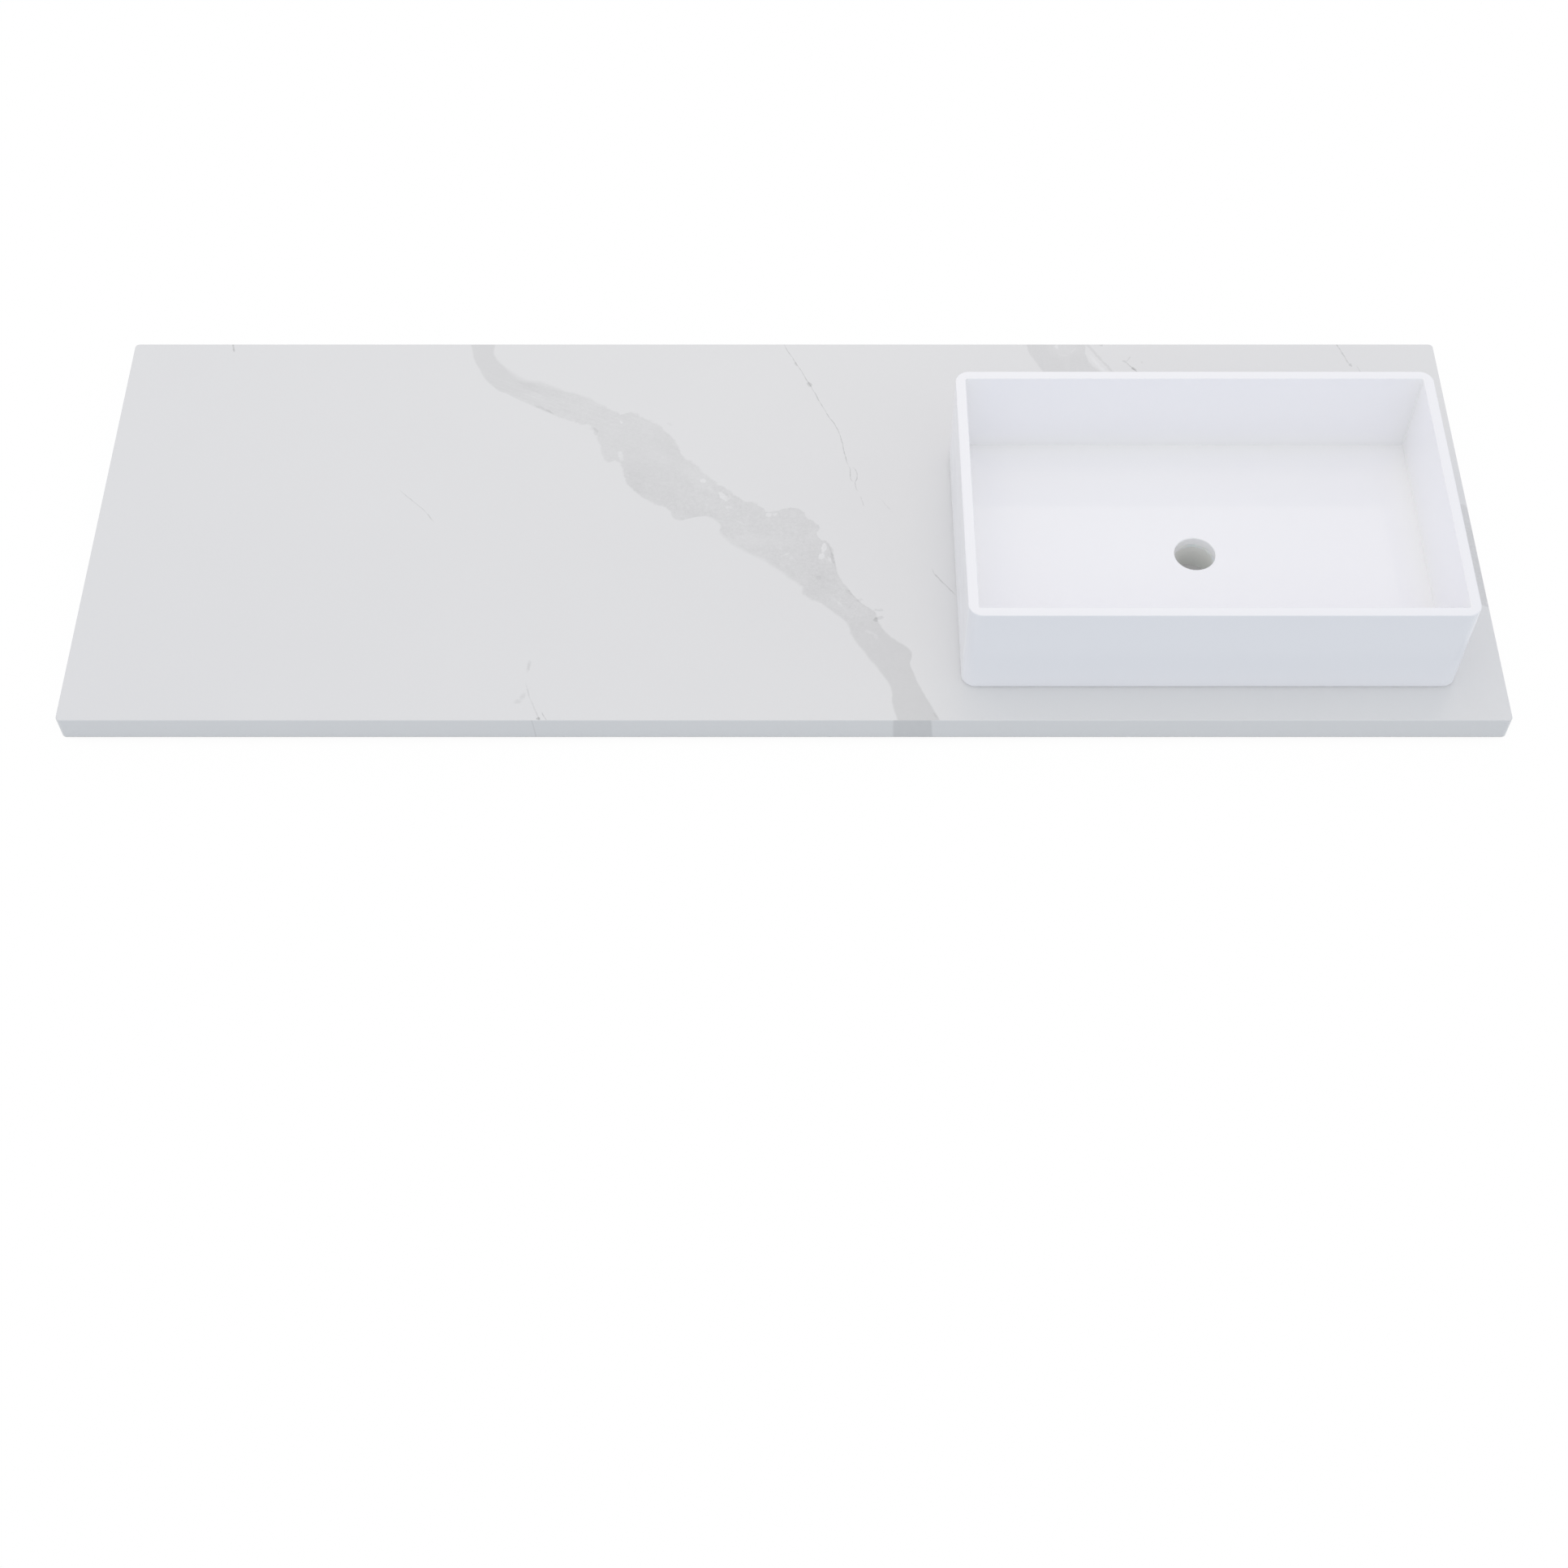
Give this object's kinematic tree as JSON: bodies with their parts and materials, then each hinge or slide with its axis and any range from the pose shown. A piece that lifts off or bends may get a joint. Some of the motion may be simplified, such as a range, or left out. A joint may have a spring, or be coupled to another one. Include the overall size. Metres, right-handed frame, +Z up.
{
  "type": "vanity sink top",
  "caption": "Veined stone vanity counter with a rectangular above-counter basin at its right end and one waste hole.",
  "frame": {"origin": "centre of the counter's underside", "axes": "+X along the counter to the right, +Y from its front edge to its back edge, +Z up"},
  "size_m": [1.524, 0.545, 0.1515],
  "materials": {
    "engineered_stone": "polished",
    "solid_surface": "gloss",
    "plywood": "matte",
    "sealant": "satin"
  },
  "bodies": {
    "root": {"top_panel": "engineered_stone", "front_apron": "engineered_stone", "right_apron": "engineered_stone", "back_apron": "engineered_stone", "left_apron": "engineered_stone", "drain_block": "engineered_stone", "front_rail": "plywood", "back_rail": "plywood", "left_end_rail": "plywood", "right_end_rail": "plywood", "left_drain_rail": "plywood", "right_drain_rail": "plywood", "field_rail_1": "plywood", "field_rail_2": "plywood", "basin_floor": "solid_surface", "basin_front_wall": "solid_surface", "basin_right_wall": "solid_surface", "basin_back_wall": "solid_surface", "basin_left_wall": "solid_surface", "basin_bead": "sealant", "waste_seal": "sealant"}
  },
  "joints": []
}
